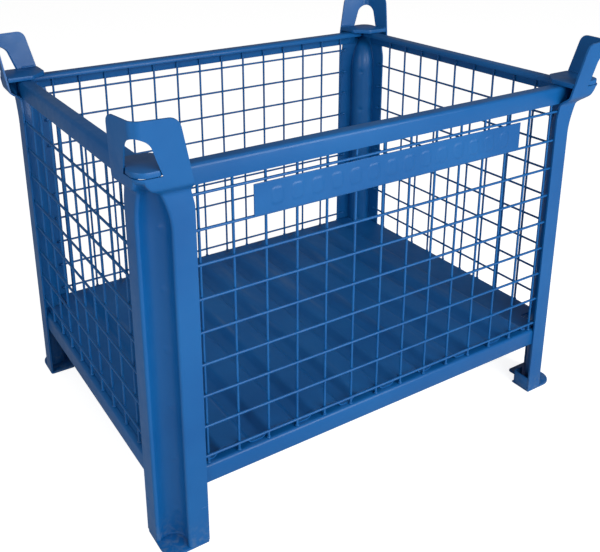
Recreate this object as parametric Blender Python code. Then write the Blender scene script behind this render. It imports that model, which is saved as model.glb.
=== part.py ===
"""Rigid wire mesh container with stacking corner posts, 800 x 600 mm.

Welded steel box open at the top. X runs along the long side, Y along the
short side, Z up. The origin lies on the ground under the middle of the box,
and the long side with the marking strip faces -Y. All lengths are in metres.
"""
import math

import bmesh
import bpy
from mathutils import Matrix, Vector

# Overall size
LENGTH = 0.800
WIDTH = 0.600
RIM_Z = 0.582
EAR_TOP_Z = 0.655
GAP = 0.0003

# Corner posts: pressed sheet with a half-round trough and two flanges
SHEET = 0.003
POST_WING = 0.0675
MOUTH = 0.035
MOUTH_TOP = 0.010
FOLD_RADIUS = 0.004
FOLD_TURN = math.radians(127)
TROUGH_END_Z = 0.500
MOUTH_END_Z = 0.575

# Ears: the posts' tops, set outwards by a jog and flared above it
BEND_Z = 0.556
BEND_WING = 0.0625
EAR_WING = 0.039
JOG_START_Z = 0.550
JOG_END_Z = 0.567
JOG = 0.013
FLARE_SLOPE = 0.065
SPLAY_LOW = 0.050
SPLAY_RISE = 1.0
CORNER_START_Z = 0.567
CORNER_END_Z = 0.580
CORNER_RADIUS = 0.012
EAR_ROUND = 0.012
HOLE_BASE_Z = 0.5817
HOLE_TOP_Z = 0.6335
HOLE_HALF = 0.0255
HOLE_TOP_HALF = 0.0145

# Foot plates and stacking seats
FOOT_PLATE = 0.004
FOOT_DEPTH = 0.038
FOOT_NECK = 0.046
FOOT_WALL_Z = 0.027
FOOT_ROUND = 0.024
SEAT_Z = 0.5823
SEAT_THICKNESS = 0.0077
SEAT_FAR = 0.056
SEAT_INNER = 0.029
SEAT_NOTCH = 0.0205
SEAT_TIP = 0.0165
SEAT_LIP = 0.015
SEAT_ROUND = 0.028

# Rails
RAIL_SHEET = 0.0025
TOP_RAIL_DROP = 0.028
TOP_RAIL_WIDTH = 0.025
TOP_RAIL_LIP = 0.009
TOP_RAIL_START = 0.032
BOTTOM_RAIL_Z = 0.1015
BOTTOM_RAIL_TOP_Z = 0.1305
BOTTOM_RAIL_WIDTH = 0.030
BOTTOM_RAIL_START = 0.047

# Welded mesh
WIRE = 0.004
WELD_OVERLAP = 0.0006
PITCH = 0.050
PITCH_Z = 0.0495
LONG_UPRIGHTS = 14
SHORT_UPRIGHTS = 9
LONG_ROWS = 9
SHORT_ROWS = 8
LONG_TOP_ROW_Z = 0.541
SHORT_TOP_ROW_Z = 0.5105
ROW_INSET = 0.055
UPRIGHT_TOP_Z = 0.574

# Corrugated floor
FLOOR_SHEET = 0.0018
FLOOR_EDGE = 0.012
FLOOR_NOTCH = 0.049
RIB_PITCH = 0.081
RIB_CREST = 0.042
RIB_SLOPE = 0.010
RIB_HEIGHT = 0.011
RIBS = 8
RIB_END = 0.024
RIB_RAMP = 0.010

# Marking strip on the front
STRIP_LENGTH = 0.494
STRIP_BOTTOM_Z = 0.493
STRIP_TOP_Z = 0.538
STRIP_SHEET = 0.0018

BLUE = (0.027, 0.127, 0.366, 1.0)


def clear_scene():
    """Remove the objects a new scene starts with."""
    for obj in list(bpy.data.objects):
        bpy.data.objects.remove(obj, do_unlink=True)


def paint(name):
    """Blue powder coat for one piece."""
    material = bpy.data.materials.new(name + "_paint")
    material.use_nodes = True
    shader = material.node_tree.nodes["Principled BSDF"]
    shader.inputs["Base Color"].default_value = BLUE
    shader.inputs["Roughness"].default_value = 0.42
    shader.inputs["Metallic"].default_value = 0.0
    return material


def add_object(name, mesh_edit, smooth_angle=None):
    """Turn an edit mesh into a named object with its own paint."""
    mesh_edit.normal_update()
    bmesh.ops.recalc_face_normals(mesh_edit, faces=mesh_edit.faces)
    mesh = bpy.data.meshes.new(name)
    mesh_edit.to_mesh(mesh)
    mesh_edit.free()
    if smooth_angle is not None:
        mesh.shade_smooth()
        mesh.set_sharp_from_angle(angle=math.radians(smooth_angle))
    obj = bpy.data.objects.new(name, mesh)
    bpy.context.scene.collection.objects.link(obj)
    mesh.materials.append(paint(name))
    return obj


def add_cutter(name, mesh_edit):
    """Make a hidden helper solid for a Boolean."""
    obj = add_object(name, mesh_edit)
    obj.hide_render = True
    obj.display_type = "WIRE"
    return obj


def boolean(obj, other, operation):
    """Combine a piece with a helper solid."""
    modifier = obj.modifiers.new(operation.title(), "BOOLEAN")
    modifier.operation = operation
    modifier.solver = "EXACT"
    modifier.object = other


def add_box(mesh_edit, low, high):
    """Add a closed box between two corners."""
    size = Vector(high) - Vector(low)
    middle = (Vector(high) + Vector(low)) / 2
    place = Matrix.Translation(middle) @ Matrix.Diagonal((*size, 1.0))
    bmesh.ops.create_cube(mesh_edit, size=1.0, matrix=place)


def add_prism(mesh_edit, outline, rise, base=0.0):
    """Extrude a flat outline upwards into a closed prism."""
    verts = [mesh_edit.verts.new((x, y, base)) for x, y in outline]
    face = mesh_edit.faces.new(verts)
    grown = bmesh.ops.extrude_face_region(mesh_edit, geom=[face])
    moved = [item for item in grown["geom"] if isinstance(item, bmesh.types.BMVert)]
    bmesh.ops.translate(mesh_edit, verts=moved, vec=(0, 0, rise))


def corner_place(side_x, side_y):
    """Matrix from corner coordinates (inward from the corner) to the box."""
    place = Matrix.Translation((side_x * LENGTH / 2, side_y * WIDTH / 2, 0))
    return place @ Matrix.Diagonal((-side_x, -side_y, 1.0, 1.0))


def arc(centre, radius, start, end, steps):
    """Points along an arc, both ends included."""
    angles = [start + (end - start) * i / steps for i in range(steps + 1)]
    return [Vector((centre[0] + radius * math.cos(a), centre[1] + radius * math.sin(a)))
            for a in angles]


def ease(value):
    """Smooth step from 0 to 1, held outside that range."""
    value = min(max(value, 0.0), 1.0)
    return value * value * (3 - 2 * value)


def trough_path(mouth):
    """Outer face of the trough between its two folds, from -Y side to -X side."""
    fold_x = mouth + FOLD_RADIUS
    fold_end = -math.pi / 2 - FOLD_TURN
    fold = arc((fold_x, FOLD_RADIUS), FOLD_RADIUS, -math.pi / 2, fold_end, 3)
    along = Vector((-math.sin(fold_end + math.pi), math.cos(fold_end + math.pi)))
    reach = (fold[-1].x - fold[-1].y) / (along.y + along.x)
    centre = fold[-1].x - along.y * reach
    start = math.atan2(fold[-1].y - centre, fold[-1].x - centre)
    bowl = arc((centre, centre), reach, start, math.pi / 2 - start, 10)
    mirrored = [Vector((p.y, p.x)) for p in reversed(fold)]
    return fold[:-1] + bowl + mirrored[1:]


def corner_path(count):
    """Outer face of the closed ear corner with the same number of points."""
    return arc((CORNER_RADIUS, CORNER_RADIUS), CORNER_RADIUS,
               -math.pi / 2, -math.pi, count - 1)


def jogged(height):
    """Share of the ear's outward jog reached at a height."""
    return ease((height - JOG_START_Z) / (JOG_END_Z - JOG_START_Z))


def lean(height):
    """How far the corner stands outwards at a height."""
    return JOG * jogged(height) + FLARE_SLOPE * max(height - JOG_END_Z, 0.0)


def splay(height):
    """Slope by which the wings open outwards towards their ends at a height."""
    return SPLAY_LOW * jogged(height) + SPLAY_RISE * max(height - JOG_END_Z, 0.0)


def wing_end(height):
    """Distance of a wing's end from the post's lower corner line."""
    if height > BEND_Z:
        rise = (height - BEND_Z) / (EAR_TOP_Z - BEND_Z)
        return BEND_WING + (EAR_WING - BEND_WING) * rise
    narrowing = max((height - 0.525) / (BEND_Z - 0.525), 0.0)
    return POST_WING + (BEND_WING - POST_WING) * narrowing


def stand_out(point, height):
    """Move a point of the section outwards with the ear's jog, flare and splay."""
    out = lean(height)
    slope = splay(height)
    return Vector((point.x - out - slope * max(point.y - point.x, 0.0),
                   point.y - out - slope * max(point.x - point.y, 0.0)))


def post_section(height):
    """Outer face of the post at a height, from one wing's end to the other's."""
    run = (height - TROUGH_END_Z) / (MOUTH_END_Z - TROUGH_END_Z)
    closing = min(max(run, 0.0), 1.0) ** 1.8
    trough = trough_path(MOUTH + (MOUTH_TOP - MOUTH) * closing)
    corner = corner_path(len(trough))
    turned = ease((height - CORNER_START_Z) / (CORNER_END_Z - CORNER_START_Z))
    middle = [a.lerp(b, turned) for a, b in zip(trough, corner)]
    wing = wing_end(height) + lean(height)
    ends = (0.0, 0.0035, EAR_ROUND)
    front = [Vector((wing - d, 0.0)) for d in ends]
    side = [Vector((0.0, wing - d)) for d in reversed(ends)]
    return [stand_out(p, height) for p in front + middle + side]


def inward(path):
    """The same path one sheet thickness further in."""
    moved = []
    for i, point in enumerate(path):
        before = path[i] - path[i - 1] if i else path[1] - path[0]
        after = path[i + 1] - path[i] if i + 1 < len(path) else before
        n1 = Vector((before.y, -before.x)).normalized()
        n2 = Vector((after.y, -after.x)).normalized()
        mitre = (n1 + n2).normalized()
        moved.append(point + mitre * (SHEET / max(mitre.dot(n1), 0.5)))
    return moved


def ear_top(column, columns):
    """Height of the ear's top edge, rounded at the wings' ends."""
    ends = (0.0, 0.0035)
    place = min(column, columns - 1 - column)
    if place >= len(ends):
        return EAR_TOP_Z
    across = EAR_ROUND - ends[place]
    return EAR_TOP_Z - EAR_ROUND + math.sqrt(EAR_ROUND ** 2 - across ** 2)


def loft(mesh_edit, rows):
    """Skin rows of (outer, inner) vertex pairs into one closed sheet."""
    for low, high in zip(rows, rows[1:]):
        for i in range(len(low) - 1):
            mesh_edit.faces.new((low[i][0], low[i + 1][0], high[i + 1][0], high[i][0]))
            mesh_edit.faces.new((low[i + 1][1], low[i][1], high[i][1], high[i + 1][1]))
        for i in (0, len(low) - 1):
            mesh_edit.faces.new((low[i][0], high[i][0], high[i][1], low[i][1]))
    for row in (rows[0], rows[-1]):
        for i in range(len(row) - 1):
            mesh_edit.faces.new((row[i][0], row[i][1], row[i + 1][1], row[i + 1][0]))


def post_mesh():
    """Pressed corner post with its ear, in corner coordinates."""
    heights = [FOOT_PLATE + GAP, TROUGH_END_Z, 0.525, JOG_START_Z, BEND_Z, 0.561,
               JOG_END_Z, 0.5735, CORNER_END_Z, 0.640, EAR_TOP_Z]
    mesh_edit = bmesh.new()
    rows = []
    for height in heights:
        outer = post_section(height)
        inner = inward(outer)
        columns = len(outer)
        row = []
        for column, (a, b) in enumerate(zip(outer, inner)):
            z = ear_top(column, columns) if height == EAR_TOP_Z else height
            row.append((mesh_edit.verts.new((a.x, a.y, z)),
                        mesh_edit.verts.new((b.x, b.y, z))))
        rows.append(row)
    loft(mesh_edit, rows)
    return mesh_edit


def hole_mesh():
    """Arched crane eye through the ear's corner, in corner coordinates."""
    rise = HOLE_TOP_Z - HOLE_BASE_Z
    side = math.atan2(HOLE_HALF - HOLE_TOP_HALF, rise)
    radius = HOLE_TOP_HALF * math.tan(math.pi / 4 + side / 2)
    arch = arc((0.0, rise - radius), radius, side, math.pi - side, 8)
    outline = [Vector((HOLE_HALF, 0.0))] + arch + [Vector((-HOLE_HALF, 0.0))]
    mesh_edit = bmesh.new()
    add_prism(mesh_edit, outline, 0.090)
    place = Matrix(((-math.sqrt(0.5), 0, math.sqrt(0.5), -0.035),
                    (math.sqrt(0.5), 0, math.sqrt(0.5), -0.035),
                    (0, 1, 0, HOLE_BASE_Z),
                    (0, 0, 0, 1)))
    mesh_edit.transform(place)
    return mesh_edit


def rounded_corner(reach, radius, low):
    """Points round a plate's outer corner, from the +x end to the +y end."""
    centre = (low + radius, low + radius)
    turn = arc(centre, radius, -math.pi / 2, -math.pi, 6)
    return [Vector((reach, low))] + turn + [Vector((low, reach))]


def foot_mesh():
    """Flat foot plate under one post, in corner coordinates."""
    outline = rounded_corner(POST_WING, FOOT_ROUND, 0.0)
    outline += [Vector((FOOT_NECK, POST_WING)), Vector((FOOT_NECK, FOOT_DEPTH)),
                Vector((POST_WING, FOOT_DEPTH))]
    mesh_edit = bmesh.new()
    add_prism(mesh_edit, outline, FOOT_PLATE)
    return mesh_edit


def foot_wall_mesh():
    """Upturned edge of the foot, standing behind the front flange."""
    inner = POST_WING - SHEET
    back = FOOT_DEPTH - SHEET
    start = SHEET + 2 * GAP
    outline = [Vector((POST_WING, start)), Vector((POST_WING, FOOT_DEPTH - 0.006)),
               Vector((POST_WING - 0.006, FOOT_DEPTH)), Vector((FOOT_NECK, FOOT_DEPTH)),
               Vector((FOOT_NECK, back)), Vector((inner - 0.005, back)),
               Vector((inner, back - 0.005)), Vector((inner, start))]
    mesh_edit = bmesh.new()
    add_prism(mesh_edit, outline, FOOT_WALL_Z - FOOT_PLATE / 2, FOOT_PLATE / 2)
    return mesh_edit


def seat_wall(along):
    """Edge of the seat just inside the ear's wing, at a distance along it."""
    out = lean(SEAT_Z)
    return SHEET + 2 * GAP - out - splay(SEAT_Z) * (along + out)


def seat_mesh():
    """Stacking seat across the post's top, in corner coordinates."""
    edge = [Vector((SEAT_FAR, seat_wall(SEAT_FAR))),
            Vector((SEAT_NOTCH, seat_wall(SEAT_NOTCH)))]
    outline = edge + rounded_corner(SEAT_TIP, SEAT_ROUND, -SEAT_LIP)
    outline += [Vector((p.y, p.x)) for p in reversed(edge)]
    outline += [Vector((SEAT_INNER, SEAT_FAR)), Vector((SEAT_FAR, SEAT_INNER))]
    mesh_edit = bmesh.new()
    add_prism(mesh_edit, outline, SEAT_THICKNESS, SEAT_Z)
    return mesh_edit


def add_corner(label, side_x, side_y):
    """Post, foot plate and stacking seat of one corner."""
    place = corner_place(side_x, side_y)
    turned = []
    for build in (post_mesh, hole_mesh, foot_mesh, foot_wall_mesh, seat_mesh):
        mesh_edit = build()
        mesh_edit.transform(place)
        turned.append(mesh_edit)
    post = add_object("corner_post_" + label, turned[0], smooth_angle=35)
    boolean(post, add_cutter("crane_eye_cut_" + label, turned[1]), "DIFFERENCE")
    foot = add_object("foot_plate_" + label, turned[2])
    boolean(foot, add_cutter("foot_wall_" + label, turned[3]), "UNION")
    add_object("stacking_seat_" + label, turned[4])


def rounded_profile(points, radii):
    """Round the corners of a closed outline given as (y, z) points."""
    result = []
    count = len(points)
    for i, radius in enumerate(radii):
        here, before, after = points[i], points[i - 1], points[(i + 1) % count]
        if radius == 0:
            result.append(here)
            continue
        a = (before - here).normalized()
        b = (after - here).normalized()
        for step in range(3):
            t = step / 2
            spread = (1 - t) ** 2 * a + t ** 2 * b
            result.append(here + spread * radius)
    return result


def rail_mesh(profile, half_length):
    """Extrude a rail profile given as (depth, height) along the long axis."""
    mesh_edit = bmesh.new()
    add_prism(mesh_edit, profile, 2 * half_length, -half_length)
    mesh_edit.transform(Matrix(((0, 0, 1, 0), (1, 0, 0, 0), (0, 1, 0, 0), (0, 0, 0, 1))))
    return mesh_edit


def top_rail_profile():
    """Folded top rail: outer face, flat top and a short inner lip."""
    face = SHEET + GAP
    inner = face + TOP_RAIL_WIDTH
    t = RAIL_SHEET
    points = [(face, RIM_Z - TOP_RAIL_DROP), (face, RIM_Z), (inner, RIM_Z),
              (inner, RIM_Z - TOP_RAIL_LIP), (inner - t, RIM_Z - TOP_RAIL_LIP),
              (inner - t, RIM_Z - t), (face + t, RIM_Z - t),
              (face + t, RIM_Z - TOP_RAIL_DROP)]
    radii = (0, 0.005, 0.005, 0, 0, 0.0025, 0.0025, 0)
    return rounded_profile([Vector(p) for p in points], radii)


def bottom_rail_profile():
    """Angle section: outer face with a flat leg on top that carries the floor."""
    face = SHEET + GAP
    inner = face + BOTTOM_RAIL_WIDTH
    top = BOTTOM_RAIL_TOP_Z
    t = SHEET
    points = [(face, BOTTOM_RAIL_Z), (face, top), (inner, top), (inner, top - t),
              (face + t, top - t), (face + t, BOTTOM_RAIL_Z)]
    radii = (0, 0.004, 0, 0, 0.0015, 0)
    return rounded_profile([Vector(p) for p in points], radii)


def side_place(side):
    """Matrix from a -Y side at the ground's edge to one side of the box."""
    angle = {"front": 0, "right": 90, "rear": 180, "left": 270}[side]
    depth = WIDTH / 2 if side in ("front", "rear") else LENGTH / 2
    return Matrix.Rotation(math.radians(angle), 4, "Z") @ Matrix.Translation((0, -depth, 0))


def side_length(side):
    """Length of the box along one side."""
    return LENGTH if side in ("front", "rear") else WIDTH


def add_rails(side):
    """Top and bottom rail of one side."""
    half = side_length(side) / 2
    top = rail_mesh(top_rail_profile(), half - TOP_RAIL_START)
    top.transform(side_place(side))
    add_object("top_rail_" + side, top, smooth_angle=40)
    bottom = rail_mesh(bottom_rail_profile(), half - BOTTOM_RAIL_START)
    bottom.transform(side_place(side))
    add_object("bottom_rail_" + side, bottom, smooth_angle=40)


def row_heights(side):
    """Heights of a panel's level wires."""
    long_side = side in ("front", "rear")
    top = LONG_TOP_ROW_Z if long_side else SHORT_TOP_ROW_Z
    rows = LONG_ROWS if long_side else SHORT_ROWS
    return [top - PITCH_Z * i for i in range(rows)]


def upright_places(side):
    """Places of a panel's upright wires along its side."""
    count = LONG_UPRIGHTS if side in ("front", "rear") else SHORT_UPRIGHTS
    return [(i - (count - 1) / 2) * PITCH for i in range(count)]


def add_mesh_panel(side):
    """Welded wire mesh of one side: level wires outside, uprights inside."""
    half = side_length(side) / 2 - ROW_INSET
    face = SHEET + GAP
    back = face + WIRE - WELD_OVERLAP
    rows = bmesh.new()
    for z in row_heights(side):
        add_box(rows, (-half, face, z - WIRE / 2), (half, face + WIRE, z + WIRE / 2))
    uprights = bmesh.new()
    for x in upright_places(side):
        add_box(uprights, (x - WIRE / 2, back, BOTTOM_RAIL_TOP_Z + GAP),
                (x + WIRE / 2, back + WIRE, UPRIGHT_TOP_Z))
    rows.transform(side_place(side))
    uprights.transform(side_place(side))
    panel = add_object("mesh_panel_" + side, rows)
    boolean(panel, add_cutter("uprights_" + side, uprights), "UNION")


def floor_row(mesh_edit, y, share):
    """Vertex pairs of the floor's two faces across the ribs, risen to a share."""
    valley = BOTTOM_RAIL_TOP_Z + GAP + FLOOR_SHEET
    half = RIB_CREST / 2
    mitre = share * FLOOR_SHEET * math.tan(math.atan2(RIB_HEIGHT, RIB_SLOPE) / 2)
    line = [(-(LENGTH / 2 - FLOOR_EDGE), 0.0, 0.0)]
    for i in range(RIBS):
        middle = (i - (RIBS - 1) / 2) * RIB_PITCH
        line += [(middle - half - RIB_SLOPE, 0.0, mitre), (middle - half, share, mitre),
                 (middle + half, share, -mitre), (middle + half + RIB_SLOPE, 0.0, -mitre)]
    line.append((LENGTH / 2 - FLOOR_EDGE, 0.0, 0.0))
    row = []
    for x, rise, shift in line:
        top = valley + RIB_HEIGHT * rise
        row.append((mesh_edit.verts.new((x, y, top)),
                    mesh_edit.verts.new((x + shift, y, top - FLOOR_SHEET))))
    return row


def add_floor():
    """Corrugated floor sheet, its ribs closed at their ends, notched round each post."""
    depth = WIDTH / 2 - FLOOR_EDGE
    ends = ((depth, 0.0), (depth - RIB_END + RIB_RAMP, 0.0), (depth - RIB_END, 1.0))
    mesh_edit = bmesh.new()
    rows = [floor_row(mesh_edit, -y, share) for y, share in ends]
    rows += [floor_row(mesh_edit, y, share) for y, share in reversed(ends)]
    loft(mesh_edit, rows)
    floor = add_object("floor_sheet", mesh_edit)
    notches = bmesh.new()
    for side_x in (-1, 1):
        for side_y in (-1, 1):
            corner = bmesh.new()
            add_box(corner, (-0.01, -0.01, 0.10), (FLOOR_NOTCH, FLOOR_NOTCH, 0.18))
            corner.transform(corner_place(side_x, side_y))
            bmesh.ops.recalc_face_normals(corner, faces=corner.faces)
            scratch = bpy.data.meshes.new("notch")
            corner.to_mesh(scratch)
            corner.free()
            notches.from_mesh(scratch)
            bpy.data.meshes.remove(scratch)
    boolean(floor, add_cutter("floor_notches", notches), "DIFFERENCE")


def add_marking_strip():
    """Blank strip for the owner's marking, outside the front mesh."""
    front = -WIDTH / 2 + SHEET - STRIP_SHEET
    mesh_edit = bmesh.new()
    add_box(mesh_edit, (-STRIP_LENGTH / 2, front, STRIP_BOTTOM_Z),
            (STRIP_LENGTH / 2, front + STRIP_SHEET, STRIP_TOP_Z))
    add_object("marking_strip", mesh_edit)


def main():
    """Build the container from its floor frame to its corners."""
    clear_scene()
    add_floor()
    for side in ("front", "right", "rear", "left"):
        add_rails(side)
        add_mesh_panel(side)
    add_marking_strip()
    add_corner("front_left", -1, -1)
    add_corner("front_right", 1, -1)
    add_corner("rear_right", 1, 1)
    add_corner("rear_left", -1, 1)


main()
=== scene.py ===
"""Rigid wire mesh container with flared stacking ears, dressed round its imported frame.

The container is a welded steel box: four pressed corner posts on foot plates, folded
rails above and below, a welded wire panel in each side, a corrugated floor and a blank
marking strip. Every piece is powder-coated blue. All lengths are in metres.
"""

import logging
import math
from dataclasses import dataclass, field
from enum import Enum

import bmesh
import bpy
from mathutils import Matrix, Vector


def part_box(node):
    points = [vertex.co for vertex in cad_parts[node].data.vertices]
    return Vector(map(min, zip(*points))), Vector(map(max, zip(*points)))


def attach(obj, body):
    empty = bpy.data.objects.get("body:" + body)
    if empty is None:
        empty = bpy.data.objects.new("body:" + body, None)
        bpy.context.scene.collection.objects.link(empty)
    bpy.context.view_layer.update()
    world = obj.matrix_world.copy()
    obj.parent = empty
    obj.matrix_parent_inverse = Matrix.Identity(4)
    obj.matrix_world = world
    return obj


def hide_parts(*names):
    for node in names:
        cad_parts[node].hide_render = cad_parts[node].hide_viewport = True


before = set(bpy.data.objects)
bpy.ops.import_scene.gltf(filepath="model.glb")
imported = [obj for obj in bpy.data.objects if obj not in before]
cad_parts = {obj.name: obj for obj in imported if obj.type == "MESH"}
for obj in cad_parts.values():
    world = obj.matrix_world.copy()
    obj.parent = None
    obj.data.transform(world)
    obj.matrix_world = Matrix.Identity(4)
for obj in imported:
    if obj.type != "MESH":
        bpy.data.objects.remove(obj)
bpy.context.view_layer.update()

LOG = logging.getLogger("mesh_container")
BODY = "root"
HALF_LENGTH = -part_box("foot_plate_front_left")[0][0]
HALF_WIDTH = -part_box("foot_plate_front_left")[0][1]
GAP = 0.0003
SHEET = 0.003
TOUCH = 1e-6


class Corner(Enum):
    """The container's four corners, each with the signs of its X and Y."""

    FRONT_LEFT = (-1, -1)
    FRONT_RIGHT = (1, -1)
    REAR_RIGHT = (1, 1)
    REAR_LEFT = (-1, 1)

    @property
    def label(self) -> str:
        """Name of the corner as the frame's nodes spell it."""
        return self.name.lower()

    def place(self) -> Matrix:
        """Matrix from corner coordinates, which run inwards, to the container."""
        side_x, side_y = self.value
        move = Matrix.Translation((side_x * HALF_LENGTH, side_y * HALF_WIDTH, 0))
        return move @ Matrix.Diagonal((-side_x, -side_y, 1, 1))


class Side(Enum):
    """The container's four sides, each with its turn about Z in degrees."""

    FRONT = 0
    RIGHT = 90
    REAR = 180
    LEFT = 270

    @property
    def label(self) -> str:
        """Name of the side as the frame's nodes spell it."""
        return self.name.lower()

    @property
    def is_long(self) -> bool:
        """Whether this is one of the two long sides."""
        return self in (Side.FRONT, Side.REAR)

    @property
    def half(self) -> float:
        """Half the container's size along this side."""
        return HALF_LENGTH if self.is_long else HALF_WIDTH

    def place(self) -> Matrix:
        """Matrix from side coordinates (along, inwards, up) to the container."""
        depth = HALF_WIDTH if self.is_long else HALF_LENGTH
        turn = Matrix.Rotation(math.radians(self.value), 4, "Z")
        return turn @ Matrix.Translation((0, -depth, 0))


class NodeBench:
    """Small helper that adds shader nodes and links them."""

    def __init__(self, name: str) -> None:
        """Start an empty node material.

        Args:
            name: Name of the new material.
        """
        self.material = bpy.data.materials.new(name)
        self.material.use_nodes = True
        self.tree = self.material.node_tree
        self.shader = self.tree.nodes["Principled BSDF"]

    def add(self, kind: str, **values: object) -> bpy.types.Node:
        """Add one node.

        Args:
            kind: Blender's type name of the node.
            values: Attributes to set, or socket values under their names.

        Returns:
            The new node.
        """
        node = self.tree.nodes.new(kind)
        for key, value in values.items():
            if hasattr(node, key):
                setattr(node, key, value)
            else:
                node.inputs[key.replace("_", " ")].default_value = value
        return node

    def link(self, source: bpy.types.NodeSocket, target: bpy.types.NodeSocket) -> None:
        """Link an output socket to an input socket."""
        self.tree.links.new(source, target)

    def noise(self, scale: float, detail: float = 3.0,
              stretch: tuple[float, float, float] = (1, 1, 1)) -> bpy.types.NodeSocket:
        """Noise on Object coordinates.

        Args:
            scale: Features per metre.
            detail: Octaves of finer noise.
            stretch: Factors on the three axes, for streaks.

        Returns:
            The noise's factor socket.
        """
        places = self.add("ShaderNodeTexCoord")
        mapping = self.add("ShaderNodeMapping")
        mapping.inputs["Scale"].default_value = stretch
        texture = self.add("ShaderNodeTexNoise", Scale=scale, Detail=detail)
        self.link(places.outputs["Object"], mapping.inputs["Vector"])
        self.link(mapping.outputs["Vector"], texture.inputs["Vector"])
        return texture.outputs["Fac"]

    def remap(self, source: bpy.types.NodeSocket, low: float, high: float,
              to_low: float, to_high: float) -> bpy.types.NodeSocket:
        """Stretch a value from one range to another.

        Args:
            source: Socket with the value.
            low: Start of the value's own range.
            high: End of the value's own range.
            to_low: Result at the range's start.
            to_high: Result at the range's end.

        Returns:
            Socket with the new value, held between the two results.
        """
        node = self.add("ShaderNodeMapRange")
        limits = ("From Min", "From Max", "To Min", "To Max")
        for key, value in zip(limits, (low, high, to_low, to_high)):
            node.inputs[key].default_value = value
        self.link(source, node.inputs["Value"])
        return node.outputs["Result"]

    def blend(self, factor: bpy.types.NodeSocket, first: object,
              second: tuple[float, float, float]) -> bpy.types.NodeSocket:
        """Mix two colours.

        Args:
            factor: Socket with the share of the second colour.
            first: First colour, or a socket that carries it.
            second: Second colour.

        Returns:
            Socket with the mixed colour.
        """
        node = self.add("ShaderNodeMix", data_type="RGBA")
        colours = [s for s in node.inputs if s.type == "RGBA"]
        self.link(factor, node.inputs["Factor"])
        if isinstance(first, bpy.types.NodeSocket):
            self.link(first, colours[0])
        else:
            colours[0].default_value = (*first, 1)
        colours[1].default_value = (*second, 1)
        return next(s for s in node.outputs if s.type == "RGBA")

    def multiply(self, first: bpy.types.NodeSocket,
                 second: bpy.types.NodeSocket) -> bpy.types.NodeSocket:
        """Product of two values."""
        node = self.add("ShaderNodeMath", operation="MULTIPLY")
        self.link(first, node.inputs[0])
        self.link(second, node.inputs[1])
        return node.outputs[0]

    def bump(self, height: bpy.types.NodeSocket, strength: float, distance: float,
             below: bpy.types.NodeSocket | None = None) -> bpy.types.NodeSocket:
        """Relief from a height value.

        Args:
            height: Socket with the height.
            strength: How strongly it shows.
            distance: Height in metres of the value 1.
            below: Normal socket of a coarser relief under this one.

        Returns:
            Normal socket of the relief.
        """
        node = self.add("ShaderNodeBump", Strength=strength, Distance=distance)
        self.link(height, node.inputs["Height"])
        if below is not None:
            self.link(below, node.inputs["Normal"])
        return node.outputs["Normal"]


@dataclass(frozen=True)
class PowderCoat:
    """Blue powder coat on steel, with the way it varies over a piece."""

    name: str
    colour: tuple[float, float, float] = (0.006, 0.112, 0.345)
    deep: tuple[float, float, float] = (0.003, 0.092, 0.305)
    dust: tuple[float, float, float] = (0.120, 0.190, 0.300)
    roughness: float = 0.36
    cloud_scale: float = 7.0
    peel: float = 0.16
    ripple: float = 0.0
    scuffs: float = 0.0
    dust_height: float = 0.0
    speckle_scale: float = 420.0
    gloss_scale: float = 46.0
    scuff_scale: float = 60.0
    wave_scale: float = 90.0
    peel_scale: float = 800.0
    ripple_scale: float = 330.0
    dust_scale: float = 130.0

    def material(self) -> bpy.types.Material:
        """Node material of the coat."""
        bench = NodeBench(self.name)
        shader = bench.shader
        shader.inputs["Metallic"].default_value = 0.0
        shader.inputs["IOR"].default_value = 1.5
        shader.inputs["Specular IOR Level"].default_value = 0.35
        cloud = bench.remap(bench.noise(self.cloud_scale, 4.0), 0.35, 0.65, 0.0, 1.0)
        colour = bench.blend(cloud, self.colour, self.deep)
        speckle = bench.remap(bench.noise(self.speckle_scale, 2.0), 0.55, 0.80, 0.0, 0.35)
        colour = bench.blend(speckle, colour, self.deep)
        rough = bench.remap(bench.noise(self.gloss_scale, 4.0), 0.3, 0.7,
                            self.roughness - 0.05, self.roughness + 0.08)
        if self.scuffs > 0:
            streak = bench.noise(self.scuff_scale, 5.0, (1.0, 0.08, 1.0))
            worn = bench.remap(streak, 0.60, 0.74, 0.0, self.scuffs)
            colour = bench.blend(worn, colour, self.dust)
        if self.dust_height > 0:
            colour = bench.blend(self._dust(bench), colour, self.dust)
        bench.link(colour, shader.inputs["Base Color"])
        bench.link(rough, shader.inputs["Roughness"])
        relief = bench.bump(bench.noise(self.wave_scale, 2.0), 0.25, 0.0003)
        relief = bench.bump(bench.noise(self.peel_scale, 2.0), self.peel, 0.0002, relief)
        if self.ripple > 0:
            rough_bead = bench.noise(self.ripple_scale, 1.0)
            relief = bench.bump(rough_bead, self.ripple, 0.0006, relief)
        bench.link(relief, shader.inputs["Normal"])
        return bench.material

    def _dust(self, bench: NodeBench) -> bpy.types.NodeSocket:
        """Share of settled dust, most of it near the ground.

        Args:
            bench: Node bench of the material.

        Returns:
            Socket with the share of dust.
        """
        places = bench.add("ShaderNodeTexCoord")
        split = bench.add("ShaderNodeSeparateXYZ")
        bench.link(places.outputs["Object"], split.inputs["Vector"])
        low = bench.remap(split.outputs["Z"], 0.0, self.dust_height, 0.55, 0.0)
        patches = bench.remap(bench.noise(self.dust_scale, 5.0), 0.45, 0.70, 0.0, 1.0)
        return bench.multiply(low, patches)


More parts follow.
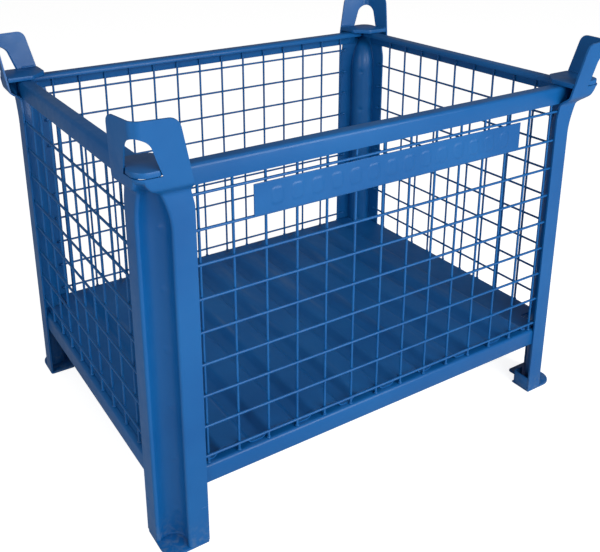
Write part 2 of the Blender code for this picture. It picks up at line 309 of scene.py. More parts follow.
@dataclass(frozen=True)
class StudioGround:
    """Pale matt floor of the studio."""

    colour: tuple[float, float, float] = (0.60, 0.60, 0.60)
    glow: float = 0.85

    def material(self) -> bpy.types.Material:
        """Matt material that looks pale without throwing much light back."""
        bench = NodeBench("studio_ground")
        shader = bench.shader
        shader.inputs["Roughness"].default_value = 1.0
        shader.inputs["Specular IOR Level"].default_value = 0.0
        shader.inputs["Base Color"].default_value = (*self.colour, 1)
        shader.inputs["Emission Color"].default_value = (1, 1, 1, 1)
        path = bench.add("ShaderNodeLightPath")
        glow = bench.add("ShaderNodeMath", operation="MULTIPLY")
        glow.inputs[1].default_value = self.glow
        bench.link(path.outputs["Is Camera Ray"], glow.inputs[0])
        bench.link(glow.outputs[0], shader.inputs["Emission Strength"])
        return bench.material


POST_COAT = PowderCoat("post_powder_coat", dust_height=0.05)
WELD_COAT = PowderCoat("weld_powder_coat", roughness=0.42, ripple=0.5)
FOOT_COAT = PowderCoat("foot_powder_coat", roughness=0.42, dust_height=0.03)
SEAT_COAT = PowderCoat("seat_powder_coat", roughness=0.40, scuffs=0.10)
RAIL_COAT = PowderCoat("rail_powder_coat", cloud_scale=5.0)
WIRE_COAT = PowderCoat("wire_powder_coat", roughness=0.34, cloud_scale=30.0, peel=0.08)
DECK_COAT = PowderCoat("deck_powder_coat", roughness=0.42, scuffs=0.22)
STRIP_COAT = PowderCoat("strip_powder_coat", cloud_scale=9.0)


def bevel(mesh_edit: bmesh.types.BMesh, parts: list, size: float, segments: int,
          affect: str = "EDGES") -> None:
    """Round some edges or corners of an edit mesh.

    Args:
        mesh_edit: Mesh to work on.
        parts: Edges or vertices to round.
        size: How far the rounding reaches.
        segments: Steps of the rounding.
        affect: EDGES or VERTICES.
    """
    bmesh.ops.bevel(mesh_edit, geom=parts, offset=size, offset_type="OFFSET",
                    segments=segments, profile=0.5, affect=affect, material=-1,
                    clamp_overlap=True)


def fold_sheet(path: list[tuple[float, float]], start: float, end: float,
               radius: float) -> bmesh.types.BMesh:
    """Fold a strip of sheet along its length.

    Args:
        path: Corners of the outer face across the strip, as (inwards, up).
        start: Where the strip starts along X.
        end: Where it ends.
        radius: How far each fold's rounding reaches.

    Returns:
        Open sheet whose faces point away from the hollow of the folds.
    """
    sheet = bmesh.new()
    verts = [sheet.verts.new((start, y, z)) for y, z in path]
    edges = [sheet.edges.new(pair) for pair in zip(verts, verts[1:])]
    grown = bmesh.ops.extrude_edge_only(sheet, edges=edges)["geom"]
    moved = [item for item in grown if isinstance(item, bmesh.types.BMVert)]
    bmesh.ops.translate(sheet, verts=moved, vec=(end - start, 0, 0))
    folds = [e for e in sheet.edges if len(e.link_faces) == 2]
    bevel(sheet, folds, radius, 6)
    sheet.normal_update()
    middle = sum((Vector((0, y, z)) for y, z in path), Vector()) / len(path)
    lean = sum((f.calc_center_median() - middle).dot(f.normal) * f.calc_area()
               for f in sheet.faces)
    if lean < 0:
        bmesh.ops.reverse_faces(sheet, faces=sheet.faces)
    return sheet


def plate(outline: list[tuple[float, float]], rounds: dict[int, float], base: float,
          thickness: float, edge: float = 0.0006) -> bmesh.types.BMesh:
    """Cut a flat plate with rounded corners.

    Args:
        outline: Corners of the plate as (x, y).
        rounds: Radius of each rounded corner, under its place in the outline.
        base: Height of the plate's underside.
        thickness: The plate's thickness.
        edge: Size of the small rounding along its edges.

    Returns:
        Closed plate.
    """
    blank = bmesh.new()
    verts = [blank.verts.new((x, y, base)) for x, y in outline]
    blank.faces.new(verts)
    for index, radius in rounds.items():
        bevel(blank, [verts[index]], radius, 10, "VERTICES")
    grown = bmesh.ops.extrude_face_region(blank, geom=blank.faces[:])["geom"]
    moved = [item for item in grown if isinstance(item, bmesh.types.BMVert)]
    bmesh.ops.translate(blank, verts=moved, vec=(0, 0, thickness))
    bmesh.ops.recalc_face_normals(blank, faces=blank.faces)
    if edge > 0:
        rims = [e for e in blank.edges if e.calc_face_angle(0) > 1.0
                and abs(e.verts[0].co.z - e.verts[1].co.z) < TOUCH]
        bevel(blank, rims, edge, 2)
    return blank


def add_rod(mesh_edit: bmesh.types.BMesh, start: Vector, end: Vector, radius: float,
            sides: int = 12) -> list[bmesh.types.BMVert]:
    """Add a straight round rod with closed ends.

    Args:
        mesh_edit: Mesh that takes the rod.
        start: One end of the rod.
        end: The other end.
        radius: The rod's radius.
        sides: Faces round the rod.

    Returns:
        The rod's vertices.
    """
    run = end - start
    turn = run.to_track_quat("Z", "Y").to_matrix().to_4x4()
    place = Matrix.Translation((start + end) / 2) @ turn
    return bmesh.ops.create_cone(mesh_edit, cap_ends=True, segments=sides,
                                 radius1=radius, radius2=radius, depth=run.length,
                                 matrix=place)["verts"]


BEAD_PITCH = 0.0016
BEAD_SWELL = 0.14
BEAD_SIDES = 8
BEAD_TAPER = 1.5


def add_bead(mesh_edit: bmesh.types.BMesh, start: Vector, end: Vector,
             radius: float = 0.002) -> None:
    """Add a rippled weld bead along a line.

    Args:
        mesh_edit: Mesh that takes the bead.
        start: Where the bead starts.
        end: Where it ends.
        radius: The bead's radius.
    """
    run = end - start
    rod = add_rod(mesh_edit, start, end, radius, BEAD_SIDES)
    inside = set(rod)
    sides = {e for v in rod for e in v.link_edges
             if abs(e.calc_length() - run.length) < TOUCH and set(e.verts) <= inside}
    cuts = max(3, int(run.length / BEAD_PITCH * 3))
    bmesh.ops.subdivide_edges(mesh_edit, edges=list(sides), cuts=cuts)
    axis = run.normalized()
    for vert in mesh_edit.verts:
        along = (vert.co - start).dot(axis)
        centre = start + axis * along
        outside = (vert.co - centre).length > radius * 1.01
        if outside or not -TOUCH < along < run.length + TOUCH:
            continue
        taper = min(along, run.length - along) / (radius * BEAD_TAPER)
        swell = 1.0 + BEAD_SWELL * math.sin(2 * math.pi * along / BEAD_PITCH)
        size = math.sqrt(max(0.04, 1 - (1 - min(taper, 1.0)) ** 2)) * swell
        vert.co = centre + (vert.co - centre) * size


def add_dab(mesh_edit: bmesh.types.BMesh, place: Vector, size: Vector,
            detail: int = 2) -> None:
    """Add a small rounded weld dab.

    Args:
        mesh_edit: Mesh that takes the dab.
        place: Centre of the dab.
        size: Its three half sizes.
        detail: Subdivisions of the rounded shape.
    """
    shape = Matrix.Translation(place) @ Matrix.Diagonal((*size, 1))
    bmesh.ops.create_icosphere(mesh_edit, subdivisions=detail, radius=1.0, matrix=shape)


def new_object(name: str, mesh_edit: bmesh.types.BMesh, place: Matrix) -> bpy.types.Object:
    """Turn an edit mesh into an object whose place is in its mesh.

    Args:
        name: Name of the object.
        mesh_edit: Mesh, which is freed.
        place: Matrix from the mesh's own coordinates to the container.

    Returns:
        Object at the origin.
    """
    mesh_edit.transform(place)
    if place.determinant() < 0:
        bmesh.ops.reverse_faces(mesh_edit, faces=mesh_edit.faces)
    mesh_edit.normal_update()
    mesh = bpy.data.meshes.new(name)
    mesh_edit.to_mesh(mesh)
    mesh_edit.free()
    piece = bpy.data.objects.new(name, mesh)
    bpy.context.scene.collection.objects.link(piece)
    return piece


def thicken(piece: bpy.types.Object, thickness: float, even: bool = True) -> None:
    """Give an open sheet its thickness on the inner side.

    Args:
        piece: The sheet.
        thickness: Its thickness.
        even: Whether sharp folds keep the full thickness.
    """
    wall = piece.modifiers.new("Thickness", "SOLIDIFY")
    wall.thickness = thickness
    wall.offset = -1.0
    wall.use_even_offset = even


def settle(piece: bpy.types.Object) -> None:
    """Make the result of a piece's modifiers its own mesh."""
    bpy.context.view_layer.update()
    graph = bpy.context.evaluated_depsgraph_get()
    shaped = bpy.data.meshes.new_from_object(piece.evaluated_get(graph))
    shaped.name = piece.name
    piece.modifiers.clear()
    piece.data = shaped


def dress(piece: bpy.types.Object, coat: bpy.types.Material,
          nodes: tuple[str, ...] = (), smooth: float = 35.0) -> bpy.types.Object:
    """Paint a finished piece, parent it to the root body and hide the frame nodes it stands
    for.

    Args:
        piece: The piece.
        coat: Its material.
        nodes: Frame nodes that it stands for.
        smooth: Angle in degrees above which an edge stays sharp.

    Returns:
        The same piece.
    """
    piece.data.materials.clear()
    piece.data.materials.append(coat)
    piece.data.shade_smooth()
    piece.data.set_sharp_from_angle(angle=math.radians(smooth))
    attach(piece, BODY)
    if nodes:
        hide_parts(*nodes)
    LOG.info("%s: %d faces", piece.name, len(piece.data.polygons))
    return piece


def ease(value: float) -> float:
    """Smooth step from 0 to 1, held outside that range."""
    value = min(max(value, 0.0), 1.0)
    return value * value * (3 - 2 * value)


@dataclass(frozen=True)
class EarLine:
    """How a post's top stands outwards, and how its wings end."""

    wing: float = 0.0675
    narrow_start: float = 0.525
    bend: float = 0.556
    bend_wing: float = 0.0625
    top: float = 0.655
    top_wing: float = 0.0392
    jog_start: float = 0.550
    jog_end: float = 0.567
    jog: float = 0.0129
    flare: float = 0.064
    splay_low: float = 0.050
    splay_rise: float = 0.98

    def jogged(self, height: float) -> float:
        """Share of the outward jog reached at a height."""
        return ease((height - self.jog_start) / (self.jog_end - self.jog_start))

    def lean(self, height: float) -> float:
        """How far the corner stands outwards at a height."""
        return self.jog * self.jogged(height) + self.flare * max(height - self.jog_end, 0.0)

    def splay(self, height: float) -> float:
        """Slope by which the wings open outwards towards their ends."""
        low = self.splay_low * self.jogged(height)
        return low + self.splay_rise * max(height - self.jog_end, 0.0)

    def wing_end(self, height: float) -> float:
        """Distance of a wing's end from the post's lower corner line."""
        if height > self.bend:
            rise = (height - self.bend) / (self.top - self.bend)
            return self.bend_wing + (self.top_wing - self.bend_wing) * rise
        narrow = ease((height - self.narrow_start) / (self.bend - self.narrow_start))
        return self.wing + (self.bend_wing - self.wing) * narrow

    def stand_out(self, point: Vector, height: float) -> Vector:
        """Move a point of the post's section outwards.

        Args:
            point: Point in corner coordinates.
            height: Height above the ground.

        Returns:
            The point with the ear's jog, flare and splay.
        """
        out = self.lean(height)
        slope = self.splay(height)
        return Vector((point.x - out - slope * max(point.y - point.x, 0.0),
                       point.y - out - slope * max(point.x - point.y, 0.0)))

    def inside(self, height: float, along: float) -> float:
        """Where the wing's inner face stands at a height and a place along it."""
        out = self.lean(height)
        return SHEET + 2 * GAP - out - self.splay(height) * (along + out)


@dataclass
class CornerPost:
    """Pressed post with a half-round trough, dimples and a flared ear."""

    corner: Corner
    coat: bpy.types.Material
    ear: EarLine = EarLine()
    mouth: float = 0.035
    mouth_top: float = 0.010
    closing_power: float = 1.8
    fold_radius: float = 0.004
    fold_turn: float = math.radians(127)
    corner_radius: float = 0.012
    base: float = 0.0043
    trough_end: float = 0.500
    mouth_end: float = 0.575
    corner_start: float = 0.567
    corner_end: float = 0.580
    top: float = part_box("corner_post_front_left")[1][2] - 0.0004
    ear_round: float = 0.012
    eye_base: float = 0.5817
    eye_top: float = 0.6335
    eye_half: float = 0.0255
    eye_top_half: float = 0.0145
    row_step: float = 0.003
    fold_steps: int = 7
    bowl_steps: int = 48
    setbacks: tuple[float, ...] = (0.0, 0.0008, 0.002, 0.0038, 0.006, 0.009, 0.012)
    rounded_height: float = 0.015
    pips: tuple[float, ...] = (0.049, 0.138, 0.227, 0.315, 0.405, 0.493)
    pip_height: float = 0.0018
    pip_radius: float = 0.0042

    def arc(self, centre: float, radius: float, start: float, end: float,
            steps: int, second: float | None = None) -> list[Vector]:
        """Points along an arc, both ends included.

        Args:
            centre: First coordinate of the centre.
            radius: Radius of the arc.
            start: Start angle in radians.
            end: End angle in radians.
            steps: Number of equal steps.
            second: Second coordinate of the centre, if it isn't the same.

        Returns:
            The points in order.
        """
        middle = Vector((centre, centre if second is None else second))
        angles = (start + (end - start) * i / steps for i in range(steps + 1))
        return [middle + radius * Vector((math.cos(a), math.sin(a))) for a in angles]

    def trough(self, mouth: float) -> list[Vector]:
        """Outer face of the trough from the side wing to the front wing.

        Args:
            mouth: Distance of the trough's folds from the corner.

        Returns:
            Points in corner coordinates.
        """
        fold_x = mouth + self.fold_radius
        fold_end = -math.pi / 2 - self.fold_turn
        fold = self.arc(fold_x, self.fold_radius, -math.pi / 2, fold_end,
                        self.fold_steps, self.fold_radius)
        along = Vector((math.sin(fold_end), -math.cos(fold_end)))
        last = fold[-1]
        reach = (last.x - last.y) / (-along.x - along.y)
        centre = last.x + along.y * reach
        start = math.atan2(last.y - centre, last.x - centre)
        reach = (last - Vector((centre, centre))).length
        bowl = self.arc(centre, reach, start, math.pi / 2 - start, self.bowl_steps)
        side = [Vector((p.y, p.x)) for p in fold]
        return (fold[:-1] + bowl + side[::-1][1:])[::-1]

    def section(self, height: float) -> list[Vector]:
        """Outer face of the post at a height, from the side wing's end round.

        Args:
            height: Height above the ground.

        Returns:
            Points in corner coordinates.
        """
        run = (height - self.trough_end) / (self.mouth_end - self.trough_end)
        closing = min(max(run, 0.0), 1.0) ** self.closing_power
        trough = self.trough(self.mouth + (self.mouth_top - self.mouth) * closing)
        convex = self.arc(self.corner_radius, self.corner_radius, -math.pi,
                          -math.pi / 2, len(trough) - 1)
        turned = ease((height - self.corner_start) / (self.corner_end - self.corner_start))
        middle = [a.lerp(b, turned) for a, b in zip(trough, convex)]
        wing = self.ear.wing_end(height) + self.ear.lean(height)
        side = [Vector((0.0, wing - d)) for d in self.setbacks]
        front = [Vector((wing - d, 0.0)) for d in reversed(self.setbacks)]
        return [self.ear.stand_out(p, height) for p in side + middle + front]

    def ear_top(self, from_end: float) -> float:
        """Height of the ear's top edge at a distance from its wing's end."""
        across = max(self.ear_round - from_end, 0.0)
        return self.top - self.ear_round + math.sqrt(self.ear_round ** 2 - across ** 2)

    def pressed_sheet(self) -> bmesh.types.BMesh:
        """Press a flat blank into the post's outer face."""
        rows = round((self.top - self.base) / self.row_step)
        columns = len(self.section(self.base)) - 1
        blank = bmesh.new()
        bmesh.ops.create_grid(blank, x_segments=columns, y_segments=rows, size=0.5)
        ramp = self.top - self.rounded_height
        sections: dict[int, list[Vector]] = {}
        for vert in blank.verts:
            column = round((vert.co.x + 0.5) * columns)
            row = round((vert.co.y + 0.5) * rows)
            height = self.base + (self.top - self.base) * row / rows
            if row not in sections:
                sections[row] = self.section(height)
            path = sections[row]
            point = path[column]
            end = min((point - path[0]).length, (point - path[-1]).length)
            if height > ramp:
                share = (height - ramp) / (self.top - ramp)
                height = ramp + (self.ear_top(end) - ramp) * share
                if end < self.ear_round:
                    point = self.section(height)[column]
            middle = path[len(path) // 2]
            dent = self.dimple((point - middle).length, height)
            vert.co = (point.x - dent, point.y - dent, height)
        return blank

    def dimple(self, across: float, height: float) -> float:
        """Height of the locating pips, along each of the two inward axes."""
        pip = min(self.pips, key=lambda z: abs(z - height))
        near = (across / self.pip_radius) ** 2 + ((height - pip) / self.pip_radius) ** 2
        return self.pip_height * math.exp(-near) * math.sqrt(0.5) if near < 9 else 0.0

    def eye_cutter(self) -> bmesh.types.BMesh:
        """Solid arch that cuts the crane eye through the ear's corner."""
        rise = self.eye_top - self.eye_base
        arch = plate([(-self.eye_half, 0), (self.eye_half, 0),
                      (self.eye_top_half, rise), (-self.eye_top_half, rise)],
                     {}, 0.0, 0.09, 0.0)
        tops = [e for e in arch.edges if all(v.co.y > rise - TOUCH for v in e.verts)
                and abs(e.verts[0].co.z - e.verts[1].co.z) > 0.01]
        bevel(arch, tops, self.eye_top_half * 0.98, 10)
        slant = math.sqrt(0.5)
        arch.transform(Matrix(((-slant, 0, slant, -0.035), (slant, 0, slant, -0.035),
                               (0, 1, 0, self.eye_base), (0, 0, 0, 1))))
        arch.normal_update()
        bmesh.ops.recalc_face_normals(arch, faces=arch.faces)
        return arch

    def build(self) -> bpy.types.Object:
        """Make the post as a finished piece."""
        place = self.corner.place()
        post = new_object("pressed_post_" + self.corner.label, self.pressed_sheet(), place)
        thicken(post, SHEET, even=False)
        cutter = new_object("eye_cutter", self.eye_cutter(), place)
        cut = post.modifiers.new("Crane eye", "BOOLEAN")
        cut.operation = "DIFFERENCE"
        cut.solver = "EXACT"
        cut.object = cutter
        settle(post)
        bpy.data.objects.remove(cutter, do_unlink=True)
        return dress(post, self.coat,
                     ("corner_post_" + self.corner.label,))


@dataclass
class CornerWelds:
    """Weld beads that join the post, its foot, its seat and the rails."""

    corner: Corner
    coat: bpy.types.Material
    seat_top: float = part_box("stacking_seat_front_left")[1][2] + 0.0002
    seat_run: tuple[float, float] = (0.052, 0.027)
    floor_rail_top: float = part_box("bottom_rail_front")[1][2]
    rail_end: float = 0.0462
    rail_run: tuple[float, float] = (0.009, 0.029)
    face_depth: float = 0.0045
    face_runs: tuple[tuple[float, float], ...] = ((0.105, 0.127), (0.557, 0.572))
    face_bead: float = 0.0016
    flange_dab: tuple[float, float, float] = (0.0605, 0.0002, 0.064)
    flange_dab_size: tuple[float, float, float] = (0.0055, 0.0008, 0.0016)
    ring_axis: float = 0.0175
    ring_radius: float = 0.0240
    ring_height: float = 0.0050
    ring_bead: float = 0.0018

    def build(self) -> bpy.types.Object:
        """Make all of one corner's beads as one piece."""
        beads = bmesh.new()
        ear = EarLine()
        far, near = (ear.inside(self.seat_top, along) - 0.0004 for along in self.seat_run)
        self.pair(beads, (self.seat_run[0], far, self.seat_top),
                  (self.seat_run[1], near, self.seat_top))
        self.pair(beads, (self.rail_end, self.rail_run[0], self.floor_rail_top),
                  (self.rail_end, self.rail_run[1], self.floor_rail_top))
        for low, high in self.face_runs:
            self.pair(beads, (self.rail_end, self.face_depth, low),
                      (self.rail_end, self.face_depth, high), self.face_bead)
        for order in ((0, 1, 2), (1, 0, 2)):
            add_dab(beads, Vector([self.flange_dab[i] for i in order]),
                    Vector([self.flange_dab_size[i] for i in order]))
        self.foot_ring(beads)
        piece = new_object("corner_welds_" + self.corner.label, beads, self.corner.place())
        return dress(piece, self.coat, smooth=70)

    @staticmethod
    def pair(beads: bmesh.types.BMesh, start: tuple[float, float, float],
             end: tuple[float, float, float], radius: float = 0.002) -> None:
        """Add a bead along one wing and its mirror image along the other.

        Args:
            beads: Mesh that takes the beads.
            start: Where the first bead starts.
            end: Where it ends.
            radius: The beads' radius.
        """
        add_bead(beads, Vector(start), Vector(end), radius)
        add_bead(beads, Vector((start[1], start[0], start[2])),
                 Vector((end[1], end[0], end[2])), radius)

    def foot_ring(self, beads: bmesh.types.BMesh) -> None:
        """Add the bead that closes the trough's foot, spun round the trough's axis.

        Args:
            beads: Mesh that takes the bead.
        """
        axis = Vector((self.ring_axis, self.ring_axis, 0))
        start = axis + Vector((self.ring_radius, 0, self.ring_height))
        upright = Matrix.Translation(start) @ Matrix.Rotation(math.radians(90), 4, "X")
        ring = bmesh.ops.create_circle(beads, cap_ends=True, segments=BEAD_SIDES,
                                       radius=self.ring_bead, matrix=upright)["verts"]
        bmesh.ops.rotate(beads, verts=ring, cent=axis,
                         matrix=Matrix.Rotation(math.radians(-30), 3, "Z"))
        faces = list({f for v in ring for f in v.link_faces})
        bmesh.ops.spin(beads, geom=faces, cent=axis, axis=(0, 0, 1),
                       angle=math.radians(150), steps=40, use_duplicate=False)
        bmesh.ops.recalc_face_normals(beads, faces=beads.faces)


@dataclass
class FootPlate:
    """Flat foot under a post, with an upturned inner wall."""

    corner: Corner
    coat: bpy.types.Material
    wing: float = 0.0675
    depth: float = 0.038
    neck: float = 0.046
    thickness: float = 0.004
    wall_top: float = 0.027
    outer_round: float = 0.024

    def build(self) -> bpy.types.Object:
        """Make the foot as a finished piece."""
        outline = [(0.0, 0.0), (self.wing, 0.0), (self.wing, self.depth),
                   (self.neck, self.depth), (self.neck, self.wing), (0.0, self.wing)]
        foot = plate(outline, {0: self.outer_round, 1: 0.002, 5: 0.004, 4: 0.004},
                     0.0, self.thickness)
        place = self.corner.place()
        piece = new_object("foot_" + self.corner.label, foot, place)
        wall = new_object("foot_wall", self.wall(), place)
        thicken(wall, SHEET)
        soften(wall, 0.0005)
        settle(wall)
        join(piece, wall)
        return dress(piece, self.coat,
                     ("foot_plate_" + self.corner.label,))

    def wall(self) -> bmesh.types.BMesh:
        """Upright sheet along the foot's two inner edges, folded once."""
        path = [(self.wing, SHEET + 2 * GAP), (self.wing, self.depth),
                (self.neck, self.depth)]
        sheet = fold_sheet(path, self.thickness / 2, self.wall_top, 0.006)
        sheet.transform(Matrix(((0, 1, 0, 0), (0, 0, 1, 0), (1, 0, 0, 0), (0, 0, 0, 1))))
        return sheet


def soften(piece: bpy.types.Object, size: float) -> None:
    """Round a piece's sharp edges a little."""
    rounding = piece.modifiers.new("Soft edges", "BEVEL")
    rounding.width = size
    rounding.segments = 2
    rounding.limit_method = "ANGLE"
    rounding.angle_limit = math.radians(50)


def join(piece: bpy.types.Object, other: bpy.types.Object) -> None:
    """Add another object's mesh to a piece and remove that object.

    Args:
        piece: Object that stays.
        other: Object whose mesh is taken over.
    """
    both = bmesh.new()
    both.from_mesh(piece.data)
    both.from_mesh(other.data)
    both.to_mesh(piece.data)
    both.free()
    bpy.data.objects.remove(other, do_unlink=True)


@dataclass
class StackingSeat:
    """Plate across a post's top that the next container's foot rests on."""

    corner: Corner
    coat: bpy.types.Material
    far: float = 0.056
    inner: float = 0.029
    notch: float = 0.0205
    tip: float = 0.0165
    lip: float = 0.015
    lip_round: float = 0.020

    def build(self) -> bpy.types.Object:
        """Make the seat as a finished piece."""
        low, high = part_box("stacking_seat_" + self.corner.label)
        ear = EarLine()
        far, near = (ear.inside(low[2], along) + 0.0001 for along in (self.far, self.notch))
        outline = [(-self.lip, -self.lip), (self.tip, -self.lip), (self.notch, near),
                   (self.far, far), (self.far, self.inner), (self.inner, self.far),
                   (far, self.far), (near, self.notch), (-self.lip, self.tip)]
        seat = plate(outline, {0: self.lip_round, 1: 0.001, 8: 0.001, 4: 0.003, 5: 0.003},
                     low[2], high[2] - low[2], 0.0009)
        piece = new_object("seat_" + self.corner.label, seat, self.corner.place())
        return dress(piece, self.coat,
                     ("stacking_seat_" + self.corner.label,))


@dataclass
class Rail:
    """Rail of folded sheet along one side."""

    side: Side
    coat: bpy.types.Material
    node: str
    name: str
    start: float
    thickness: float
    fold: float
    path: list[tuple[float, float]] = field(default_factory=list)

    def build(self) -> bpy.types.Object:
        """Make the rail as a finished piece."""
        reach = self.side.half - self.start
        sheet = fold_sheet(self.path, -reach, reach, self.fold)
        piece = new_object(self.name + "_" + self.side.label, sheet, self.side.place())
        thicken(piece, self.thickness)
        soften(piece, 0.0005)
        settle(piece)
        return dress(piece, self.coat, (self.node + "_" + self.side.label,))


def top_rail(side: Side, coat: bpy.types.Material) -> Rail:
    """Folded top rail: outer face, flat top and a short inner lip.

    Args:
        side: Side that the rail runs along.
        coat: Its material.

    Returns:
        The rail, not yet built.
    """
    low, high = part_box("top_rail_front")
    face = low[1] + HALF_WIDTH
    inner = high[1] + HALF_WIDTH
    path = [(face, low[2]), (face, high[2]), (inner, high[2]), (inner, high[2] - 0.009)]
    return Rail(side, coat, "top_rail", "folded_top_rail", HALF_LENGTH - high[0],
                0.0025, 0.006, path)


def bottom_rail(side: Side, coat: bpy.types.Material) -> Rail:
    """Angle rail whose flat top leg carries the floor.

    Args:
        side: Side that the rail runs along.
        coat: Its material.

    Returns:
        The rail, not yet built.
    """
    low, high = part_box("bottom_rail_front")
    face = low[1] + HALF_WIDTH
    inner = high[1] + HALF_WIDTH
    path = [(face, low[2]), (face, high[2]), (inner, high[2])]
    return Rail(side, coat, "bottom_rail", "angle_bottom_rail", HALF_LENGTH - high[0],
                0.003, 0.005, path)


@dataclass
class WirePanel:
    """Welded wire panel: level wires outside, upright wires inside."""

    side: Side
    coat: bpy.types.Material
    wire: float = 0.004
    sink: float = 0.0006
    pitch: float = 0.050
    pitch_up: float = 0.0495
    inset: float = 0.055
    face: float = SHEET + GAP
    long_rows: tuple[float, int] = (0.541, 9)
    short_rows: tuple[float, int] = (0.5105, 8)
    end_weld: Vector = field(default_factory=lambda: Vector((0.0045, 0.0022, 0.0030)))
    top_weld: Vector = field(default_factory=lambda: Vector((0.0027, 0.0020, 0.0060)))
    foot_weld: Vector = field(default_factory=lambda: Vector((0.0034, 0.0034, 0.0016)))

    def heights(self) -> list[float]:
        """Heights of the level wires."""
        top, rows = self.long_rows if self.side.is_long else self.short_rows
        return [top - self.pitch_up * i for i in range(rows)]

    def uprights(self) -> list[float]:
        """Places of the upright wires along the side."""
        count = 14 if self.side.is_long else 9
        return [(i - (count - 1) / 2) * self.pitch for i in range(count)]

    def build(self) -> bpy.types.Object:
        """Make the panel as a finished piece."""
        low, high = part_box("mesh_panel_" + self.side.label)
        radius = self.wire / 2
        half = self.side.half - self.inset
        front = self.face + radius
        back = self.face + self.wire - self.sink + radius
        mesh = bmesh.new()
        for z in self.heights():
            add_rod(mesh, Vector((-half, front, z)), Vector((half, front, z)), radius)
            for end in (-1, 1):
                dab = Vector((end * (half - self.wire), front + 0.0008, z))
                add_dab(mesh, dab, self.end_weld)
        for x in self.uprights():
            add_rod(mesh, Vector((x, back, low[2])), Vector((x, back, high[2])), radius)
            add_dab(mesh, Vector((x, back - 0.0012, high[2] - 0.009)), self.top_weld)
            add_dab(mesh, Vector((x, back, low[2] + 0.0012)), self.foot_weld)
        crossing = (front + back) / 2
        for z in self.heights():
            for x in self.uprights():
                add_dab(mesh, Vector((x, crossing, z)),
                        Vector((radius * 1.35, radius * 0.75, radius * 1.35)), 1)
        piece = new_object("welded_mesh_" + self.side.label, mesh, self.side.place())
        return dress(piece, self.coat,
                     ("mesh_panel_" + self.side.label,), smooth=60)


@dataclass
class Deck:
    """Corrugated floor sheet, cut out round the posts."""

    coat: bpy.types.Material
    thickness: float = 0.0018
    notch: float = 0.049
    pitch: float = 0.081
    crest: float = 0.042
    slope: float = 0.010
    ribs: int = 8
    rib_end: float = 0.024
    rib_ramp: float = 0.010
    fold_share: float = 0.22
    column: float = 0.003

    def height(self, x: float, valley: float, crest: float) -> float:
        """Height of the sheet's top face.

        Args:
            x: Place along the container.
            valley: Height between the ribs.
            crest: Height on the ribs.

        Returns:
            The height, with soft folds.
        """
        reach = self.ribs * self.pitch / 2
        if abs(x) > reach:
            return valley
        middle = (math.floor((x + reach) / self.pitch) + 0.5) * self.pitch - reach
        out = (abs(x - middle) - self.crest / 2) / self.slope
        return crest + (valley - crest) * self._soft(out)

    def _soft(self, value: float) -> float:
        """Straight slope from 0 to 1 with rounded ends."""
        reach = self.fold_share
        if value <= -reach or value >= 1 + reach:
            return min(max(value, 0.0), 1.0)
        if value < reach:
            return (value + reach) ** 2 / (4 * reach)
        if value > 1 - reach:
            return 1 - (1 + reach - value) ** 2 / (4 * reach)
        return value

    def build(self) -> bpy.types.Object:
        """Make the floor as a finished piece."""
        low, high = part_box("floor_sheet")
        valley = low[2] + self.thickness
        columns = round((high[0] - low[0]) / self.column)
        sheet = bmesh.new()
        rows = round((high[1] - low[1]) / (2 * self.column))
        bmesh.ops.create_grid(sheet, x_segments=columns, y_segments=rows, size=0.5)
        for vert in sheet.verts:
            x, y = vert.co.x * (high[0] - low[0]), vert.co.y * (high[1] - low[1])
            from_end = high[1] - max(y, 0.0)
            share = ease((from_end - self.rib_end + self.rib_ramp) / self.rib_ramp)
            rise = self.height(x, valley, high[2]) - valley
            vert.co = (x, y, valley + rise * share)
        edge_x, edge_y = HALF_LENGTH - self.notch, HALF_WIDTH - self.notch
        for place, normal in (((edge_x, 0, 0), (1, 0, 0)), ((-edge_x, 0, 0), (1, 0, 0)),
                              ((0, edge_y, 0), (0, 1, 0)), ((0, -edge_y, 0), (0, 1, 0))):
            everything = sheet.verts[:] + sheet.edges[:] + sheet.faces[:]
            bmesh.ops.bisect_plane(sheet, geom=everything, plane_co=place, plane_no=normal)
        corners = [f for f in sheet.faces
                   if abs(f.calc_center_median().x) > edge_x
                   and abs(f.calc_center_median().y) > edge_y]
        bmesh.ops.delete(sheet, geom=corners, context="FACES")
        piece = new_object("corrugated_deck", sheet, Matrix.Identity(4))
        thicken(piece, self.thickness)
        settle(piece)
        return dress(piece, self.coat, ("floor_sheet",))


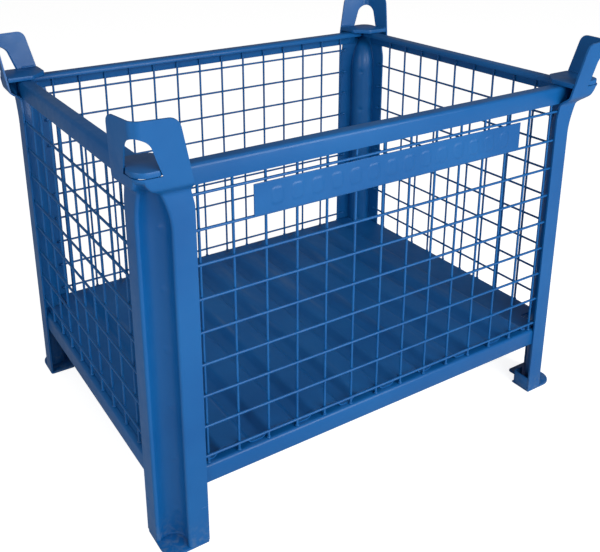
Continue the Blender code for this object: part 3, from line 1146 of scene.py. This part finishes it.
@dataclass
class MarkingStrip:
    """Strip for the owner's marking, pressed with plain blank pads."""

    coat: bpy.types.Material
    pads: int = 14
    pad_pitch: float = 0.0325
    pad_width: float = 0.018
    pad_height: float = 0.023
    pad_round: float = 0.005
    relief: float = 0.0010
    pad_slope: float = 0.003
    thickness: float = 0.0018
    step: float = 0.0015

    def press(self, x: float, z: float) -> float:
        """How far the sheet stands out at a place.

        Args:
            x: Place along the strip from its middle.
            z: Height from its middle.

        Returns:
            Height of the relief.
        """
        slot = min(max(round(x / self.pad_pitch + (self.pads - 1) / 2), 0), self.pads - 1)
        middle = (slot - (self.pads - 1) / 2) * self.pad_pitch
        over_x = abs(x - middle) - self.pad_width / 2 + self.pad_round
        over_z = abs(z) - self.pad_height / 2 + self.pad_round
        outside = math.hypot(max(over_x, 0.0), max(over_z, 0.0)) - self.pad_round
        return self.relief * ease(0.5 - outside / self.pad_slope)

    def build(self) -> bpy.types.Object:
        """Make the strip as a finished piece."""
        low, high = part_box("marking_strip")
        size = Vector(high) - Vector(low)
        middle = (Vector(high) + Vector(low)) / 2
        sheet = bmesh.new()
        bmesh.ops.create_grid(sheet, x_segments=round(size.x / self.step),
                              y_segments=round(size.z / self.step), size=0.5)
        for vert in sheet.verts:
            x, z = vert.co.x * size.x, vert.co.y * size.z
            vert.co = (middle.x + x, low[1] - self.press(x, z), middle.z + z)
        piece = new_object("blank_marking_strip", sheet, Matrix.Identity(4))
        thicken(piece, self.thickness)
        soften(piece, 0.0004)
        settle(piece)
        return dress(piece, self.coat, ("marking_strip",))


@dataclass(frozen=True)
class Softbox:
    """Rectangular soft light that faces a point."""

    name: str
    place: tuple[float, float, float]
    target: tuple[float, float, float]
    size: tuple[float, float]
    power: float

    def build(self) -> None:
        """Hang the light in the scene."""
        lamp = bpy.data.lights.new(self.name, "AREA")
        lamp.shape = "RECTANGLE"
        lamp.size, lamp.size_y = self.size
        lamp.energy = self.power
        light = bpy.data.objects.new(self.name, lamp)
        light.location = self.place
        aim = Vector(self.target) - Vector(self.place)
        light.rotation_euler = aim.to_track_quat("-Z", "Y").to_euler()
        bpy.context.scene.collection.objects.link(light)


SOFTBOXES = (
    Softbox("key_softbox", (0.35, -2.4, 1.2), (0, 0, 0.35), (2.6, 1.4), 66),
    Softbox("top_softbox", (0.2, -0.2, 3.2), (0, 0, 0.3), (2.2, 2.2), 6),
    Softbox("side_softbox", (-2.6, -0.8, 1.1), (0, 0, 0.3), (1.4, 1.2), 20),
)


@dataclass
class Studio:
    """Pale floor, soft lights and the camera."""

    camera_place: tuple[float, float, float] = (-0.7367, -1.1404, 0.9190)
    heading: float = math.radians(31.30)
    tilt: float = math.radians(18.74)
    roll: float = math.radians(-0.676)
    lens: float = 48.47
    shift: tuple[float, float] = (0.0532, -0.2148)
    sky: float = 0.20

    def build(self) -> None:
        """Set up the floor, the lights, the world and the camera."""
        self.floor()
        for softbox in SOFTBOXES:
            softbox.build()
        self.world()
        self.camera()
        bpy.context.scene.view_settings.view_transform = "Standard"

    def floor(self) -> None:
        """Add the studio floor just under the feet."""
        ground = bmesh.new()
        bmesh.ops.create_grid(ground, x_segments=8, y_segments=8, size=12.0)
        mesh = bpy.data.meshes.new("studio_floor")
        ground.to_mesh(mesh)
        ground.free()
        mesh.transform(Matrix.Translation((0, 0, -0.0005)))
        floor = bpy.data.objects.new("studio_floor", mesh)
        bpy.context.scene.collection.objects.link(floor)
        mesh.materials.append(StudioGround().material())

    def world(self) -> None:
        """Light everything evenly from all round."""
        world = bpy.data.worlds.new("studio_world")
        world.use_nodes = True
        sky = world.node_tree.nodes["Background"]
        sky.inputs["Color"].default_value = (1, 1, 1, 1)
        sky.inputs["Strength"].default_value = self.sky
        bpy.context.scene.world = world

    def camera(self) -> None:
        """Add the camera on its heading, tilt and roll."""
        lens = bpy.data.cameras.new("studio_camera")
        lens.lens = self.lens
        lens.shift_x, lens.shift_y = self.shift
        camera = bpy.data.objects.new("studio_camera", lens)
        level = Vector((math.sin(self.heading), math.cos(self.heading), 0))
        ahead = level * math.cos(self.tilt) - Vector((0, 0, math.sin(self.tilt)))
        right = Vector((math.cos(self.heading), -math.sin(self.heading), 0))
        above = right.cross(ahead)
        turn = Matrix((right, above, -ahead)).transposed()
        turn = turn @ Matrix.Rotation(self.roll, 3, "Z")
        camera.matrix_world = Matrix.Translation(self.camera_place) @ turn.to_4x4()
        camera.data.clip_end = 60
        bpy.context.scene.collection.objects.link(camera)
        bpy.context.scene.camera = camera


def main() -> None:
    """Build the container from its floor frame to its corners, then the studio."""
    logging.basicConfig(level=logging.INFO, format="%(name)s: %(message)s")
    post, weld, foot = POST_COAT.material(), WELD_COAT.material(), FOOT_COAT.material()
    seat, rail, wire = SEAT_COAT.material(), RAIL_COAT.material(), WIRE_COAT.material()
    Deck(DECK_COAT.material()).build()
    for side in Side:
        bottom_rail(side, rail).build()
        top_rail(side, rail).build()
        WirePanel(side, wire).build()
    MarkingStrip(STRIP_COAT.material()).build()
    for corner in Corner:
        CornerPost(corner, post).build()
        CornerWelds(corner, weld).build()
        FootPlate(corner, foot).build()
        StackingSeat(corner, seat).build()
    Studio().build()


if __name__ == "__main__":
    main()
